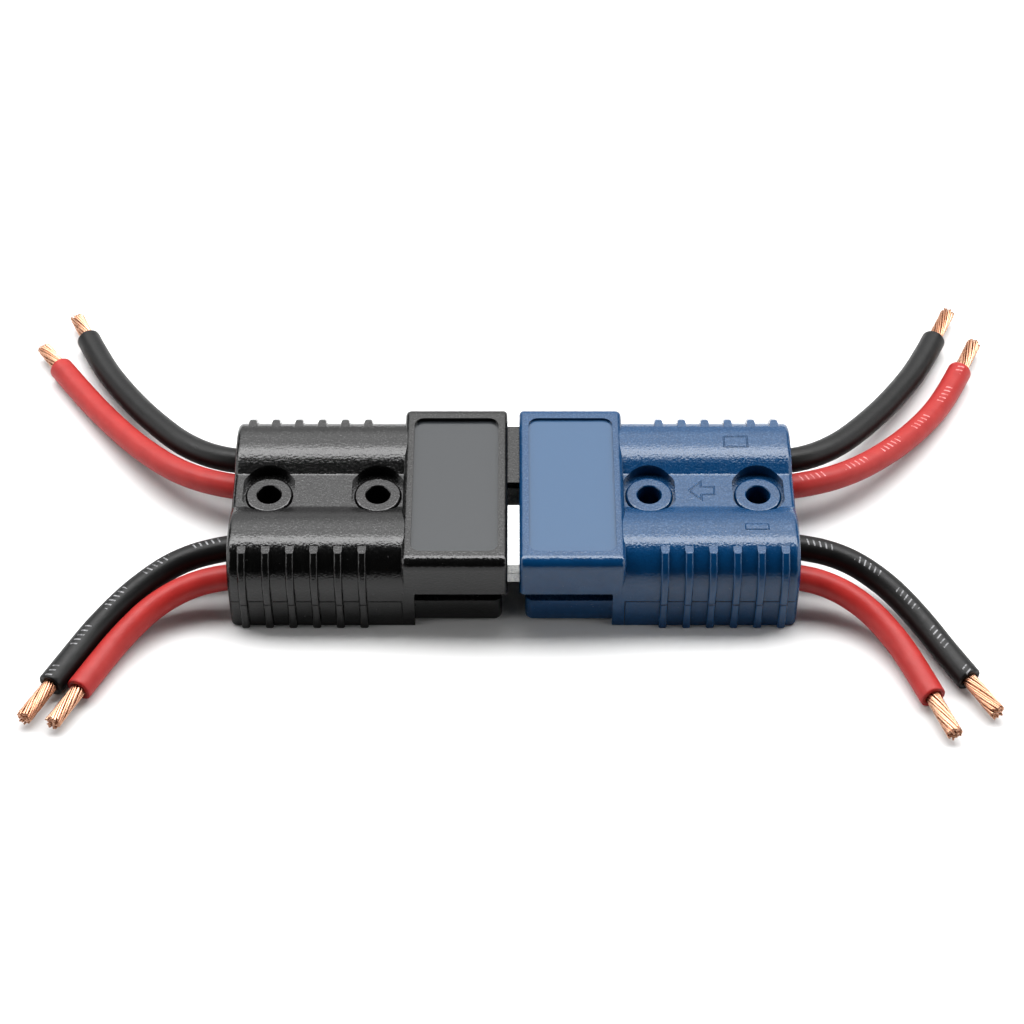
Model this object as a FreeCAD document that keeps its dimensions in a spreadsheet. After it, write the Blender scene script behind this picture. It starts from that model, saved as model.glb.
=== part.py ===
"""Mated pair of two-pole genderless power connectors with their lead stubs.

Millimetres, +Z up. The pair lies along X with its origin midway between the two hood faces,
on the surface that it rests on. Each half is built in its own frame: hood face at X = 0,
cable end towards -X, high contact on the +Y side. The blue half is the same half turned
180 degrees about Z, which is what makes the connector genderless.
"""
import FreeCAD
import Part
import Sketcher
import math
import os
from FreeCAD import Placement, Rotation, Vector

os.makedirs("parts", exist_ok=True)
doc = FreeCAD.newDocument("GenderlessConnector")

# Sizes: a number is set by itself, a formula follows from the others
SIZES = [
    ("entry_bore", 12.2, "diameter of a wire entry"),
    ("entry_wall", 2.25, "side wall outside a wire entry"),
    ("entry_middle", 3.8, "middle of the body to the edge of a wire entry"),
    ("entry_floor", 1.5, "under a wire entry"),
    ("entry_roof", 2.15, "crest of a barrel above its wire entry"),
    ("entry_chamfer", 0.4, "lead-in of a wire entry"),
    ("pole_y", "=entry_middle + entry_bore / 2", "wire entry axis from the middle"),
    ("pole_z", "=entry_floor + entry_bore / 2", "wire entry axis above the floor"),
    ("body_width", "=2 * (entry_wall + entry_bore + entry_middle)", "across the side walls"),
    ("barrel_top", "=entry_floor + entry_bore + entry_roof", "crest of the two barrels"),
    ("hood_proud", 0.15, "top of the hood above the barrels"),
    ("body_height", "=barrel_top + hood_proud", "flat bottom to the top of the hood"),
    ("hood_length", 17.8, "hood face to the step down to the barrels"),
    ("bolt_step", 4.4, "back of the hood to the first mounting hole"),
    ("bolt_pitch", 18.6, "between the mounting holes"),
    ("bolt_end", 6.2, "second mounting hole to the cable end"),
    ("bolt_near", "=hood_length + bolt_step", "hood face to the first mounting hole"),
    ("half_length", "=bolt_near + bolt_pitch + bolt_end", "hood face to cable end"),
    ("mating_gap", 2.0, "between the hood faces as the pair is plugged"),
    ("hood_side", 7.8, "height of the hood's side walls"),
    ("hood_bottom", "=body_height - hood_side", "underside of the hood's side walls"),
    ("hood_edge", 1.8, "radius along the hood's top sides"),
    ("hood_front_edge", 0.8, "radius round the hood face"),
    ("hood_back_edge", 1.0, "radius round the back of the hood"),
    ("hood_flare", 0.1, "hood wider than the barrels on each side"),
    ("hood_wall", 2.0, "side wall of the hood"),
    ("slot_step", 2.1, "full-height block in front of the hood's back"),
    ("slot_end", "=hood_length - slot_step", "hood face to the full-height block"),
    ("slot_corner", 0.6, "radius at the inner end of the side slot"),
    ("shelf_bottom", 0.8, "underside of the shelf"),
    ("shelf_inset", 0.95, "shelf edge inside the side wall"),
    ("shelf_setback", 1.0, "shelf front behind the hood face"),
    ("shelf_corner", 1.4, "plan radius of the shelf's front corners"),
    ("barrel_corner", 6.6, "outer shoulder radius of a barrel"),
    ("crest_inner", 9.6, "middle of the body to where a barrel starts to fall inwards"),
    ("crest_radius", 9.3, "round part of a barrel's inner side"),
    ("slope_tilt", 25, "degrees, straight part of that side below the round part"),
    ("slope_y", "=crest_inner - crest_radius * sin(slope_tilt)", "middle to that straight part"),
    ("slope_z", "=barrel_top - crest_radius * (1 - cos(slope_tilt))", "top of it"),
    ("web_depth", 1.75, "web between the barrels below their crest"),
    ("web_top", "=barrel_top - web_depth", "top of the web"),
    ("web_half", "=slope_y - (slope_z - web_top) / tan(slope_tilt)",
     "half width of the web before rounding"),
    ("web_fillet", 0.9, "fillet from web to barrel"),
    ("base_edge", 0.2, "radius of the long bottom edges"),
    ("end_edge", 1.0, "radius round the cable end"),
    ("rib_count", 6, "grip ribs on each side"),
    ("rib_pitch", 4.02, "from rib to rib"),
    ("rib_first", 2.6, "cable end to the middle of the first rib"),
    ("rib_width", 1.4, "along the body"),
    ("rib_proud", 0.75, "out from the side wall"),
    ("rib_dip", 0.41, "flat top end of a rib below the crest"),
    ("rib_round", 0.4, "radius of a rib's long edges"),
    ("rib_foot", 0.25, "bottom of a rib above the floor"),
    ("bolt_bore", 4.1, "diameter of a mounting hole"),
    ("bolt_chamfer", 0.15, "lead-in of a mounting hole"),
    ("boss_diameter", 8.15, "ring round a mounting hole"),
    ("boss_drop", 1.0, "top of that ring below the web"),
    ("boss_edge", 0.45, "radius of the ring's rim"),
    ("counterbore", 8.8, "clearance cut for the bolt head, along the body"),
    ("counterbore_reach", 5.3, "middle of the body to that cut's rounded ends"),
    ("counterbore_side", 2.2, "middle of the body to where its sides start to round"),
    ("counterbore_round", "=((counterbore / 2) ^ 2 + (counterbore_reach - counterbore_side) ^ 2)"
     " / (2 * (counterbore_reach - counterbore_side))", "radius of its rounded ends"),
    ("counterbore_depth", 1.5, "that cut below the web"),
    ("panel_front", 1.6, "hood face to the recessed panel"),
    ("panel_rear", 1.6, "back of the hood to the recessed panel"),
    ("panel_side", 2.75, "side wall to the recessed panel"),
    ("panel_back", "=hood_length - panel_rear", "hood face to the panel's far end"),
    ("panel_half", "=body_width / 2 - panel_side", "half width of the panel"),
    ("panel_corner", 1.7, "plan radius of the panel's corners"),
    ("panel_depth_black", 0.7, "depth of the panel"),
    ("panel_depth_blue", 0.45, "depth of the panel"),
    ("cavity_rear", 0.8, "rear wall of the contact space in front of the hood's back"),
    ("rear_wall", 2.0, "between contact space and wire entry"),
    ("hood_roof", 3.3, "top of the hood to the ceiling over the contacts"),
    ("cavity_end", "=hood_length - cavity_rear", "hood face to the rear of the contact space"),
    ("entry_end", "=cavity_end + rear_wall", "hood face to the inner end of a wire entry"),
    ("cavity_top", "=body_height - hood_roof", "ceiling over the contacts"),
    ("rib_wall_half", 1.0, "half thickness of the wall between the poles"),
    ("rib_wall_setback", 3.0, "that wall behind the hood face"),
    ("tongue_inner_clear", 0.95, "contact tongue to the wall between the poles"),
    ("tongue_outer_clear", 0.7, "contact tongue to the side wall of the hood"),
    ("tongue_ceiling_clear", 0.15, "high tongue to the ceiling"),
    ("tongue_inner", "=rib_wall_half + tongue_inner_clear", "inner edge of a tongue"),
    ("tongue_outer", "=body_width / 2 - hood_wall - tongue_outer_clear", "its outer edge"),
    ("tongue_thick", 2.1, "contact tongue"),
    ("tongue_reach", 11.0, "beyond the hood face"),
    ("tongue_nose", 0.6, "lead-in chamfer of a tongue"),
    ("tongue_root", 12.5, "hood face to the start of the neck"),
    ("contact_gap", 0.1, "running clearance between two tongues"),
    ("contact_mid", "=cavity_top - tongue_ceiling_clear - tongue_thick - contact_gap / 2",
     "plane where two tongues meet"),
    ("contact_y", "=(tongue_inner + tongue_outer) / 2", "middle of a contact tongue"),
    ("neck_side", 0.9, "contact neck inside the width of the wire entry"),
    ("neck_clear", 0.2, "end of the neck's slope in front of the rear wall"),
    ("neck_width", "=entry_bore - 2 * neck_side", "contact neck"),
    ("neck_end", "=cavity_end - neck_clear", "hood face to the end of the neck's slope"),
    ("window_clear", 0.15, "round the neck where it passes the rear wall"),
    ("crimp_clear", 0.4, "crimp barrels behind the rear wall"),
    ("crimp_front", "=entry_end + crimp_clear", "hood face to the crimp barrels"),
    ("crimp_depth", 17.0, "cable end to the mouth of the crimp barrels"),
    ("crimp_mouth", "=half_length - crimp_depth", "hood face to that mouth"),
    ("crimp_wall", 1.1, "wall of a crimp barrel"),
    ("cover_thick", 1.3, "key bar over the black half's high contact"),
    ("cover_inner", 1.0, "key bar to the wall between the poles"),
    ("cover_outer", 0.85, "key bar to the side wall of the hood"),
    ("cover_near", "=rib_wall_half + cover_inner", "inner edge of the key bar"),
    ("cover_far", "=body_width / 2 - hood_wall - cover_outer", "outer edge of the key bar"),
    ("cover_reach", "=tongue_reach", "key bar beyond the hood face"),
    ("cover_clear", 0.2, "round the key bar in its keyway"),
    ("cover_edge", 0.5, "radius of the key bar's upright edges"),
    ("spring_thick", 0.4, "leaf spring"),
    ("spring_rise", 2.8, "bow of a leaf spring above its feet"),
    ("spring_side", 2.3, "leaf spring inside each edge of the tongue"),
    ("spring_front", 2.4, "hood face to the spring's front foot"),
    ("spring_rear", 3.6, "spring's rear foot in front of the rear wall"),
    ("spring_clear", 0.05, "spring crest below the low tongue"),
    ("spring_width", "=tongue_outer - tongue_inner - 2 * spring_side", "leaf spring"),
    ("spring_back", "=cavity_end - spring_rear", "hood face to the spring's rear foot"),
    ("shelf_top", "=contact_mid - contact_gap / 2 - tongue_thick - spring_clear - spring_rise",
     "top of the shelf that carries the springs"),
    ("wire_diameter", 4.4, "over the insulation"),
    ("wire_side", 0.6, "wire to the wall of its entry"),
    ("wire_pitch", "=entry_bore - wire_diameter - 2 * wire_side", "between a pole's wires"),
    ("strand_diameter", 2.6, "bare conductor"),
    ("crimp_diameter", "=strand_diameter + 2 * crimp_wall", "outside a crimp barrel"),
    ("bare_black_far", 6.6, "stripped length of the black half's far leads"),
    ("bare_black_near", 8.1, "stripped length of the black half's near leads"),
    ("bare_blue_far", 8.4, "stripped length of the blue half's far leads"),
    ("bare_blue_near", 8.25, "stripped length of the blue half's near leads"),
]
sheet = doc.addObject("Spreadsheet::Sheet", "Sizes")
for row, (alias, value, note) in enumerate(SIZES, start=1):
    sheet.set("A%d" % row, note)
    sheet.set("B%d" % row, str(value))
    sheet.setAlias("B%d" % row, alias)
doc.recompute()
size = {alias: float(sheet.get(alias)) for alias, value, note in SIZES}


def cell(formula):
    """Formula with its aliases pointed at the sheet."""
    out, word = "", ""
    for char in formula + " ":
        if char.isalnum() or char == "_":
            word += char
            continue
        out += ("Sizes." + word) if word in size else word
        out += char
        word = ""
    return out.strip()


def value_of(formula):
    """Number that a formula over the sheet gives."""
    result = sheet.evalExpression(cell(formula))
    return float(getattr(result, "Value", result))


def bind(obj, **formulas):
    """Tie properties of a feature to formulas over the sheet."""
    for name, formula in formulas.items():
        obj.setExpression(name.replace("__", "."), cell(formula))


def place(obj, x="0", y="0", z="0"):
    """Tie the position of a feature to formulas over the sheet."""
    bind(obj, Placement__Base__x=x, Placement__Base__y=y, Placement__Base__z=z)


def origin_plane(body, role):
    return next(f for f in body.Origin.OriginFeatures if f.Role == role)


def new_body(label, name):
    body = doc.addObject("PartDesign::Body", name)
    body.Label = label
    return body


# Building blocks of a body

def box(body, name, x, y, z, cut=False):
    """Box between pairs of formulas along each axis, added or cut."""
    kind = "PartDesign::SubtractiveBox" if cut else "PartDesign::AdditiveBox"
    obj = body.newObject(kind, name)
    bind(obj, Length="(%s) - (%s)" % (x[1], x[0]), Width="(%s) - (%s)" % (y[1], y[0]),
         Height="(%s) - (%s)" % (z[1], z[0]))
    place(obj, x[0], y[0], z[0])
    doc.recompute()
    return obj


def cylinder(body, name, radius, length, at, axis="z", cut=False):
    """Cylinder that starts at a point and runs along +Z or +X, added or cut."""
    kind = "PartDesign::SubtractiveCylinder" if cut else "PartDesign::AdditiveCylinder"
    obj = body.newObject(kind, name)
    if axis == "x":
        obj.Placement = Placement(Vector(), Rotation(Vector(0, 1, 0), 90))
    bind(obj, Radius=radius, Height=length)
    place(obj, *at)
    doc.recompute()
    return obj


def profile(body, name, plane, offset, points, arcs=()):
    """Closed sketch through points given as formulas. An arc (index, radius, turn) bends
    the side that follows a point, to its left with a turn of 1 and to its right with -1."""
    sketch = body.newObject("Sketcher::SketchObject", name)
    sketch.AttachmentSupport = [(origin_plane(body, plane), "")]
    sketch.MapMode = "FlatFace"
    bind(sketch, AttachmentOffset__Base__z=offset)
    doc.recompute()
    spots = [Vector(value_of(u), value_of(v), 0) for u, v in points]
    count = len(spots)
    through = {}
    for index, radius, turn in arcs:
        start, stop = spots[index], spots[(index + 1) % count]
        chord, reach = stop - start, value_of(radius)
        rise = reach - math.sqrt(reach ** 2 - (chord.Length / 2) ** 2)
        side = Vector(-chord.y, chord.x, 0) * (turn * rise / chord.Length)
        through[index] = (start + stop) / 2 + side
    ends = {}
    for index, start in enumerate(spots):
        stop = spots[(index + 1) % count]
        if index in through:
            arc = Part.Arc(start, through[index], stop)
            number = sketch.addGeometry(arc, False)
            flipped = (sketch.getPoint(number, 1) - start).Length > 1e-6
            ends[index] = (number, 2, 1) if flipped else (number, 1, 2)
        else:
            ends[index] = (sketch.addGeometry(Part.LineSegment(start, stop), False), 1, 2)
    constraint = Sketcher.Constraint
    for index in range(count):
        here, after = ends[index], ends[(index + 1) % count]
        sketch.addConstraint(constraint("Coincident", here[0], here[2], after[0], after[1]))
    for index, (u, v) in enumerate(points):
        number, first = ends[index][0], ends[index][1]
        for kind, formula in (("DistanceX", u), ("DistanceY", v)):
            sketch.addConstraint(constraint(kind, -1, 1, number, first, value_of(formula)))
            sketch.setExpression("Constraints[%d]" % (sketch.ConstraintCount - 1), cell(formula))
    for index, radius, turn in arcs:
        sketch.addConstraint(constraint("Radius", ends[index][0], value_of(radius)))
        sketch.setExpression("Constraints[%d]" % (sketch.ConstraintCount - 1), cell(radius))
    doc.recompute()
    return sketch


def pad(body, name, sketch, length, midplane=False, reverse=False):
    obj = body.newObject("PartDesign::Pad", name)
    obj.Profile = sketch
    if midplane:
        obj.SideType = "Symmetric"
    obj.Reversed = reverse
    bind(obj, Length=length)
    doc.recompute()
    return obj


def edges_where(shape, test):
    """Names of the edges whose middle and direction pass a test. A pole has neither."""
    names = []
    for number, edge in enumerate(shape.Edges, start=1):
        if edge.Degenerated:
            continue
        first, last = edge.ParameterRange
        middle = edge.valueAt((first + last) / 2)
        along = edge.tangentAt((first + last) / 2)
        if test(middle, along, edge):
            names.append("Edge%d" % number)
    return names


def dress(body, kind, name, radius, test):
    """Fillet or chamfer on the edges of the body's tip that pass a test."""
    base = body.Tip
    names = edges_where(base.Shape, test)
    obj = body.newObject("PartDesign::" + kind, name)
    obj.Base = (base, names)
    bind(obj, **{"Radius" if kind == "Fillet" else "Size": radius})
    doc.recompute()
    return obj


def near(a, b):
    return abs(a - b) < 0.02


# Housing

def hood(name):
    """Hood of a half with its rounded edges, as a body of its own."""
    v = size
    side = "(body_width / 2 + hood_flare)"
    body = new_body(name + "Hood", name + "Hood")
    box(body, name + "HoodBlock", ("-hood_length", "0"), ("-" + side, side),
        ("hood_bottom", "body_height"))
    dress(body, "Fillet", name + "HoodSides", "hood_edge",
          lambda p, d, e: abs(d.x) > 0.99 and near(p.z, v["body_height"]))
    dress(body, "Fillet", name + "HoodFace", "hood_front_edge",
          lambda p, d, e: near(p.x, 0) and p.z > v["hood_bottom"] + 0.02)
    dress(body, "Fillet", name + "HoodBack", "hood_back_edge",
          lambda p, d, e: near(p.x, -v["hood_length"]) and p.z > v["hood_bottom"] + 0.02)
    return body


def housing(label, name, panel_depth, key_bar):
    """One moulded half: twin ribbed barrels, a hood over the contacts and a spring shelf."""
    v = size
    half = v["body_width"] / 2
    body = new_body(label, name)

    section = profile(body, name + "Section", "YZ_Plane", "-slot_end", [
        ("-body_width / 2", "0"), ("body_width / 2", "0"),
        ("body_width / 2", "barrel_top"), ("crest_inner", "barrel_top"),
        ("slope_y", "slope_z"), ("web_half", "web_top"),
        ("-web_half", "web_top"), ("-slope_y", "slope_z"),
        ("-crest_inner", "barrel_top"), ("-body_width / 2", "barrel_top")],
        arcs=[(3, "crest_radius", -1), (7, "crest_radius", -1)])
    pad(body, name + "Block", section, "half_length - slot_end", reverse=True)
    dress(body, "Fillet", name + "Shoulder", "barrel_corner",
          lambda p, d, e: abs(d.x) > 0.99 and near(abs(p.y), half) and near(p.z, v["barrel_top"]))
    dress(body, "Fillet", name + "Web", "web_fillet",
          lambda p, d, e: abs(d.x) > 0.99 and near(abs(p.y), v["web_half"]) and near(p.z, v["web_top"]))
    dress(body, "Fillet", name + "EndEdge", "end_edge",
          lambda p, d, e: near(p.x, -v["half_length"]))
    dress(body, "Fillet", name + "BaseEdge", "base_edge",
          lambda p, d, e: abs(d.x) > 0.99 and near(abs(p.y), half) and near(p.z, 0))

    # grip ribs, each a flat-topped band that follows the side wall up round the shoulder
    arc_y = "(body_width / 2 - barrel_corner)"
    arc_z = "(barrel_top - barrel_corner)"
    reach = "(barrel_corner + rib_proud)"
    end_y = "(%s + sqrt(%s ^ 2 - (barrel_corner - rib_dip) ^ 2))" % (arc_y, reach)
    for side, sign in (("Far", ""), ("Near", "-")):
        corners = [(sign + "(body_width / 2 - 1)", "rib_foot"),
                   (sign + "(body_width / 2 + rib_proud)", "rib_foot"),
                   (sign + "(body_width / 2 + rib_proud)", arc_z),
                   (sign + end_y, "barrel_top - rib_dip"),
                   (sign + arc_y, "barrel_top - rib_dip"),
                   (sign + arc_y, arc_z),
                   (sign + "(body_width / 2 - 1)", arc_z)]
        if side == "Near":
            corners.reverse()
        rib = profile(body, name + "Rib" + side, "YZ_Plane", "-(half_length - rib_first)",
                      corners, arcs=[(2 if side == "Far" else 3, reach, -1)])
        first = pad(body, name + "Rib%sPad" % side, rib, "rib_width", midplane=True)
        row = body.newObject("PartDesign::LinearPattern", name + "Ribs" + side)
        row.Originals = [first]
        row.Direction = (origin_plane(body, "X_Axis"), [""])
        bind(row, Length="rib_pitch * (rib_count - 1)", Occurrences="rib_count")
        body.Tip = row
        doc.recompute()
    shoulder_y, shoulder_z = value_of(arc_y), value_of(arc_z)
    dress(body, "Fillet", name + "RibEdges", "rib_round",
          lambda p, d, e: abs(d.x) < 0.1 and p.z > v["rib_foot"] + 0.1
          and (near(abs(p.y), half + v["rib_proud"]) or near(
              math.hypot(abs(p.y) - shoulder_y, p.z - shoulder_z), value_of(reach))))

    # hood, and the slots that it leaves under its side walls
    joined = body.newObject("PartDesign::Boolean", name + "HoodJoined")
    joined.Type = "Fuse"
    joined.setObjects([hood(name)])
    doc.recompute()
    dress(body, "Fillet", name + "SlotEnd", "slot_corner",
          lambda p, d, e: abs(d.y) > 0.99 and near(p.x, -v["slot_end"]) and near(p.z, v["hood_bottom"]))

    # spring shelf
    box(body, name + "Shelf", ("-(slot_end + 0.5)", "-shelf_setback"),
        ("-(body_width / 2 - shelf_inset)", "body_width / 2 - shelf_inset"),
        ("shelf_bottom", "shelf_top"))
    dress(body, "Fillet", name + "ShelfCorner", "shelf_corner",
          lambda p, d, e: abs(d.z) > 0.99 and near(p.x, -v["shelf_setback"]))

    # contact space of each pole, joined in front of the wall between the poles
    for side, y in (("Far", ("rib_wall_half", "body_width / 2 - hood_wall")),
                    ("Near", ("-(body_width / 2 - hood_wall)", "-rib_wall_half"))):
        box(body, name + "Space" + side, ("-cavity_end", "1"), y,
            ("shelf_top", "cavity_top"), cut=True)
    box(body, name + "Mouth", ("-rib_wall_setback", "1"),
        ("-(rib_wall_half + 1)", "rib_wall_half + 1"), ("shelf_top", "cavity_top"), cut=True)

    # round wire entries and the windows that the contact necks pass through
    for side, sign in (("Far", ""), ("Near", "-")):
        cylinder(body, name + "Entry" + side, "entry_bore / 2", "half_length - entry_end + 1",
                 ("-(half_length + 1)", sign + "pole_y", "pole_z"), axis="x", cut=True)
        box(body, name + "Window" + side, ("-(entry_end + 0.5)", "-(cavity_end - 0.5)"),
            ("%spole_y - neck_width / 2 - window_clear" % sign,
             "%spole_y + neck_width / 2 + window_clear" % sign),
            ("pole_z - tongue_thick / 2 - window_clear",
             "pole_z + tongue_thick / 2 + window_clear"), cut=True)

    dress(body, "Chamfer", name + "EntryLead", "entry_chamfer",
          lambda p, d, e: near(p.x, -v["half_length"])
          and near(e.Length, math.pi * v["entry_bore"]))

    # mounting holes, each in a ring inside a cut that clears the bolt head
    seat, ring_top = "(web_top - counterbore_depth)", "(web_top - boss_drop)"
    for number in (0, 1):
        spot = ("-(bolt_near + %d * bolt_pitch)" % number, "0")
        cut = profile(body, name + "HeadCut%d" % number, "XY_Plane", "body_height", [
            (spot[0] + " - counterbore / 2", "-counterbore_side"),
            (spot[0] + " + counterbore / 2", "-counterbore_side"),
            (spot[0] + " + counterbore / 2", "counterbore_side"),
            (spot[0] + " - counterbore / 2", "counterbore_side")],
            arcs=[(0, "counterbore_round", -1), (2, "counterbore_round", -1)])
        pocket = body.newObject("PartDesign::Pocket", name + "Counterbore%d" % number)
        pocket.Profile = cut
        bind(pocket, Length="body_height - " + seat)
        doc.recompute()
        cylinder(body, name + "Boss%d" % number, "boss_diameter / 2",
                 "%s - %s + 0.5" % (ring_top, seat), spot + (seat + " - 0.5",))
        cylinder(body, name + "Bolt%d" % number, "bolt_bore / 2", "body_height + 2",
                 spot + ("-1",), cut=True)
    dress(body, "Chamfer", name + "BoltLead", "bolt_chamfer",
          lambda p, d, e: near(e.Length, math.pi * v["bolt_bore"])
          and (near(p.z, value_of(ring_top)) or near(p.z, 0)))
    dress(body, "Fillet", name + "BossRim", "boss_edge",
          lambda p, d, e: near(e.Length, math.pi * v["boss_diameter"])
          and near(p.z, value_of(ring_top)))

    # recessed panel on the hood
    panel = profile(body, name + "PanelSketch", "XY_Plane", "body_height", [
        ("-panel_back", "-panel_half"), ("-panel_front", "-panel_half"),
        ("-panel_front", "panel_half"), ("-panel_back", "panel_half")])
    recess = body.newObject("PartDesign::Pocket", name + "Panel")
    recess.Profile = panel
    bind(recess, Length=panel_depth)
    doc.recompute()
    dress(body, "Fillet", name + "PanelCorner", "panel_corner",
          lambda p, d, e: abs(d.z) > 0.99 and near(abs(p.y), v["panel_half"])
          and (near(p.x, -v["panel_back"]) or near(p.x, -v["panel_front"])))

    if key_bar:
        box(body, name + "KeyBar", ("-1", "cover_reach"), ("cover_near", "cover_far"),
            ("cavity_top", "cavity_top + cover_thick"))
        dress(body, "Fillet", name + "KeyBarEdge", "cover_edge",
              lambda p, d, e: near(p.x, v["cover_reach"]) and abs(d.z) > 0.99)
    else:
        box(body, name + "Keyway", ("-(cover_reach + cover_clear)", "1"),
            ("-(cover_far + cover_clear)", "-(cover_near - cover_clear)"),
            ("cavity_top - 0.5", "cavity_top + cover_thick + cover_clear"), cut=True)
    return body


# Contacts: tongue, offset neck and twin crimp barrels

def contact(label, name, high):
    body = new_body(label, name)
    sign = "" if high else "-"
    low_face = ("contact_mid + contact_gap / 2" if high
                else "contact_mid - contact_gap / 2 - tongue_thick")
    box(body, name + "Tongue", ("-tongue_root", "tongue_reach"),
        ("tongue_inner", "tongue_outer") if high else ("-tongue_outer", "-tongue_inner"),
        (low_face, low_face + " + tongue_thick"))
    tip = size["tongue_reach"]
    dress(body, "Chamfer", name + "Nose", "tongue_nose",
          lambda p, d, e: near(p.x, tip) and abs(d.y) > 0.99)
    neck = profile(body, name + "NeckSketch", "XZ_Plane", "-(%spole_y)" % sign, [
        ("-(tongue_root - 1)", low_face), ("-(tongue_root - 1)", low_face + " + tongue_thick"),
        ("-tongue_root", low_face + " + tongue_thick"), ("-neck_end", "pole_z + tongue_thick / 2"),
        ("-crimp_mouth", "pole_z + tongue_thick / 2"), ("-crimp_mouth", "pole_z - tongue_thick / 2"),
        ("-neck_end", "pole_z - tongue_thick / 2"), ("-tongue_root", low_face)])
    pad(body, name + "Neck", neck, "neck_width", midplane=True)
    for wire in (-1, 1):
        at = ("-crimp_mouth", "%spole_y + %d * wire_pitch / 2" % (sign, wire), "pole_z")
        tag = "B" if wire > 0 else "A"
        cylinder(body, name + "Crimp" + tag, "crimp_diameter / 2", "crimp_mouth - crimp_front",
                 at, axis="x")
        cylinder(body, name + "Bore" + tag, "strand_diameter / 2",
                 "crimp_mouth - crimp_front - 1", at, axis="x", cut=True)
    return body


# Leaf springs: a bowed strip on the shelf under each pair of tongues

def spring(label, name, side):
    body = new_body(label, name)
    rise = "spring_rise"
    span = "(spring_back - spring_front)"
    bow = "((%s ^ 2 / 4 + %s ^ 2) / (2 * %s))" % (span, rise, rise)
    inner_span = "(%s - 2 * spring_thick)" % span
    inner_rise = "(%s - spring_thick)" % rise
    inner_bow = "((%s ^ 2 / 4 + %s ^ 2) / (2 * %s))" % (inner_span, inner_rise, inner_rise)
    strip = profile(body, name + "Strip", "XZ_Plane", "-(%scontact_y)" % side, [
        ("-spring_back", "shelf_top"), ("-(spring_back - spring_thick)", "shelf_top"),
        ("-(spring_front + spring_thick)", "shelf_top"), ("-spring_front", "shelf_top")],
        arcs=[(1, inner_bow, 1), (3, bow, -1)])
    pad(body, name + "Leaf", strip, "spring_width", midplane=True)
    return body


# Leads

# Route points of each lead from the crimp mouth to the stripped end, chosen by hand.
# The starting point of each is set by the crimp it comes out of.
LEADS = {
    "black_far_outer": ("black", 1, 1, "bare_black_far", [
        (-39.4, 13.2, 7.6), (-48.9, 13.1, 7.3), (-57.5, 17.8, 5.8), (-65.2, 26.4, 4.3),
        (-71.5, 35.2, 3.0), (-76.2, 42.9, 2.4), (-79.5, 49.9, 2.3)]),
    "black_far_inner": ("black", 1, -1, "bare_black_far", [
        (-39.3, 6.6, 7.6), (-48.4, 7.0, 7.2), (-58.4, 11.6, 5.8), (-66.9, 19.7, 4.3),
        (-73.8, 28.3, 3.0), (-79.3, 35.8, 2.4), (-83.8, 42.2, 2.3)]),
    "black_near_inner": ("black", -1, 1, "bare_black_near", [
        (-38.9, -6.6, 7.6), (-47.5, -6.5, 7.2), (-57.0, -8.3, 5.8), (-64.4, -14.0, 4.3),
        (-70.0, -20.9, 3.0), (-73.7, -27.4, 2.4), (-76.7, -33.1, 2.3)]),
    "black_near_outer": ("black", -1, -1, "bare_black_near", [
        (-38.4, -13.2, 7.6), (-46.0, -13.1, 7.2), (-53.9, -13.6, 5.8), (-60.6, -17.1, 4.3),
        (-65.6, -22.9, 3.0), (-69.1, -28.7, 2.4), (-71.9, -34.1, 2.3)]),
    "blue_far_outer": ("blue", 1, 1, "bare_blue_far", [
        (39.4, 13.2, 7.6), (48.7, 13.1, 7.3), (57.0, 18.0, 5.8), (64.8, 26.8, 4.3),
        (71.0, 35.6, 3.0), (75.5, 43.1, 2.4), (78.6, 49.7, 2.3)]),
    "blue_far_inner": ("blue", 1, -1, "bare_blue_far", [
        (39.3, 6.6, 7.6), (48.2, 7.1, 7.2), (58.3, 11.3, 5.8), (67.2, 18.6, 4.3),
        (74.2, 26.7, 3.0), (79.2, 34.3, 2.4), (82.5, 41.3, 2.3)]),
    "blue_near_inner": ("blue", -1, 1, "bare_blue_near", [
        (38.8, -6.6, 7.6), (47.2, -6.3, 7.2), (56.3, -7.5, 5.8), (63.4, -12.5, 4.3),
        (68.6, -19.3, 3.0), (72.3, -26.1, 2.4), (75.6, -31.9, 2.3)]),
    "blue_near_outer": ("blue", -1, -1, "bare_blue_near", [
        (38.4, -13.2, 7.6), (45.8, -13.1, 7.2), (53.2, -13.7, 5.8), (59.5, -17.5, 4.3),
        (64.2, -23.7, 3.0), (67.1, -30.0, 2.4), (69.2, -35.7, 2.3)]),
}


def route(points):
    """Straight runs joined by tangent arcs, as one wire, with the radius at each corner."""
    spots = [Vector(*p) for p in points]
    edges, radii, start = [], [], spots[0]
    for before, corner, after in zip(spots, spots[1:], spots[2:]):
        back, ahead = before - corner, after - corner
        turn = math.pi - back.getAngle(ahead)
        trim = 0.45 * min(back.Length, ahead.Length)
        radius = trim / math.tan(turn / 2)
        back.normalize()
        ahead.normalize()
        enter, leave = corner + back * trim, corner + ahead * trim
        inward = back + ahead
        inward.normalize()
        centre = corner + inward * math.hypot(radius, trim)
        edges.append(Part.LineSegment(start, enter).toShape())
        edges.append(Part.Arc(enter, centre - inward * radius, leave).toShape())
        radii.append(radius)
        start = leave
    edges.append(Part.LineSegment(start, spots[-1]).toShape())
    return Part.Wire(edges), radii


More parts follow.
